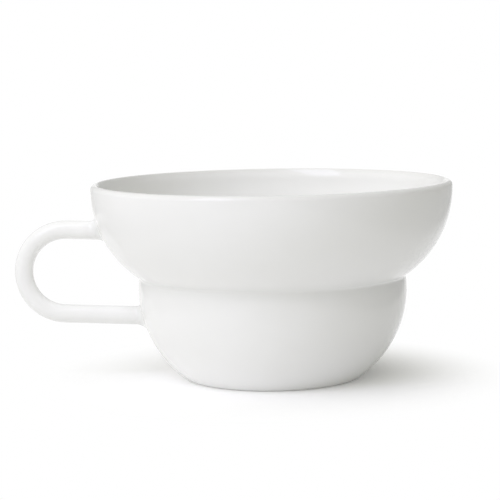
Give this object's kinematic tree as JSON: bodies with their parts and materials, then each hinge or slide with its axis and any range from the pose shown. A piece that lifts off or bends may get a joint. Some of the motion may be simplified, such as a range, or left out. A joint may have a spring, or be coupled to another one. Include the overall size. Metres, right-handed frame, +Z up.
{
  "type": "cup",
  "caption": "Tiered porcelain cup: a wide rounded bowl stepped in to a smaller rounded bowl, with a rounded lip, a hollowed foot and a slim loop handle of round rod.",
  "frame": {"origin": "on the bowl's axis, in the plane of the standing ring", "axes": "+Z up along the bowl's axis, the handle along -X, the legs of the handle in the XZ plane"},
  "size_m": [0.1344, 0.11, 0.06],
  "materials": {
    "glazed_porcelain": "clear gloss glaze on white porcelain"
  },
  "bodies": {
    "root": {"bowl": "glazed_porcelain", "handle": "glazed_porcelain", "upper_joint": "glazed_porcelain", "lower_joint": "glazed_porcelain"}
  },
  "joints": []
}
